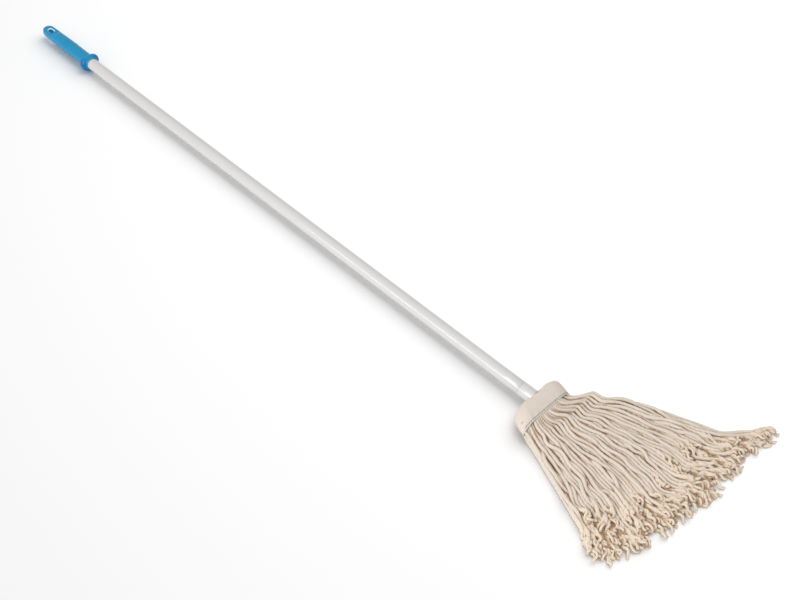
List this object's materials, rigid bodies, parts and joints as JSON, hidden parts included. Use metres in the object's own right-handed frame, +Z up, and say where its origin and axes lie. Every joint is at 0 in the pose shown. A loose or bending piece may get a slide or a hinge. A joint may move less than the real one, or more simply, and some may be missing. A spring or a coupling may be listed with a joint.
{
  "type": "string mop",
  "caption": "String mop lying flat: a white tubular handle with a blue hanging grip, screwed into a canvas-banded head of loose cotton yarn.",
  "frame": {"origin": "on the floor, on the flat underside of the canvas head band, below the handle's axis", "axes": "+X along the handle from the grip to the yarn tips, +Y across the head, +Z up from the floor it lies on"},
  "size_m": [1.565, 0.3603, 0.036],
  "materials": {
    "white_enamel": "gloss enamel on a steel tube",
    "blue_plastic": "satin moulded plastic",
    "white_plastic": "moulded plastic",
    "zinc_steel": "zinc plated",
    "canvas": "woven cotton canvas",
    "green_thread": "sewing thread",
    "cotton_yarn": "four-ply twisted cotton yarn"
  },
  "bodies": {
    "mop_head": {"socket_yoke": "white_plastic", "band_front": "canvas", "band_back": "canvas", "stitch_front": "green_thread", "stitch_back": "green_thread", "edge_seam_near": "canvas", "edge_seam_far": "canvas", "yarn_core_near": "cotton_yarn", "yarn_core_far": "cotton_yarn"},
    "neck": {"neck_sleeve": "white_plastic"},
    "handle": {"handle_tube": "white_enamel", "hand_grip": "blue_plastic", "thread_insert": "white_plastic", "insert_rivet": "zinc_steel"},
    "yarn_1": {"yarn_1_lower": "cotton_yarn", "yarn_1_upper_a": "cotton_yarn", "yarn_1_upper_b": "cotton_yarn"},
    "yarn_2": {"yarn_2_lower": "cotton_yarn", "yarn_2_upper_a": "cotton_yarn", "yarn_2_upper_b": "cotton_yarn"},
    "yarn_3": {"yarn_3_lower": "cotton_yarn", "yarn_3_upper_a": "cotton_yarn", "yarn_3_upper_b": "cotton_yarn"},
    "yarn_4": {"yarn_4_lower": "cotton_yarn", "yarn_4_upper_a": "cotton_yarn", "yarn_4_upper_b": "cotton_yarn"},
    "yarn_5": {"yarn_5_lower": "cotton_yarn", "yarn_5_upper_a": "cotton_yarn", "yarn_5_upper_b": "cotton_yarn"},
    "yarn_6": {"yarn_6_lower": "cotton_yarn", "yarn_6_upper_a": "cotton_yarn", "yarn_6_upper_b": "cotton_yarn"}
  },
  "joints": [
    {"name": "neck_slide", "type": "slide", "parent": "mop_head", "child": "neck", "axis": [-1, 0, 0], "range_m": [0, 0.025]},
    {"name": "handle_unscrew", "type": "hinge", "parent": "neck", "child": "handle", "pos_m": [0, 0, 0.018], "axis": [-1, 0, 0], "range_deg": [0, 1800]},
    {"name": "yarn_bend_1", "type": "hinge", "parent": "mop_head", "child": "yarn_1", "pos_m": [0.0415, 0, 0.018], "axis": [0, 1, 0], "range_deg": [-75, 75]},
    {"name": "yarn_bend_2", "type": "hinge", "parent": "mop_head", "child": "yarn_2", "pos_m": [0.0415, 0, 0.018], "axis": [0, 1, 0], "range_deg": [-75, 75]},
    {"name": "yarn_bend_3", "type": "hinge", "parent": "mop_head", "child": "yarn_3", "pos_m": [0.0415, 0, 0.018], "axis": [0, 1, 0], "range_deg": [-75, 75]},
    {"name": "yarn_bend_4", "type": "hinge", "parent": "mop_head", "child": "yarn_4", "pos_m": [0.0415, 0, 0.018], "axis": [0, 1, 0], "range_deg": [-75, 75]},
    {"name": "yarn_bend_5", "type": "hinge", "parent": "mop_head", "child": "yarn_5", "pos_m": [0.0415, 0, 0.018], "axis": [0, 1, 0], "range_deg": [-75, 75]},
    {"name": "yarn_bend_6", "type": "hinge", "parent": "mop_head", "child": "yarn_6", "pos_m": [0.0415, 0, 0.018], "axis": [0, 1, 0], "range_deg": [-75, 75]}
  ],
  "couplings": [
    {"joint": "handle_unscrew", "follows": "neck_slide", "rad_per_m": 1256.6}
  ]
}
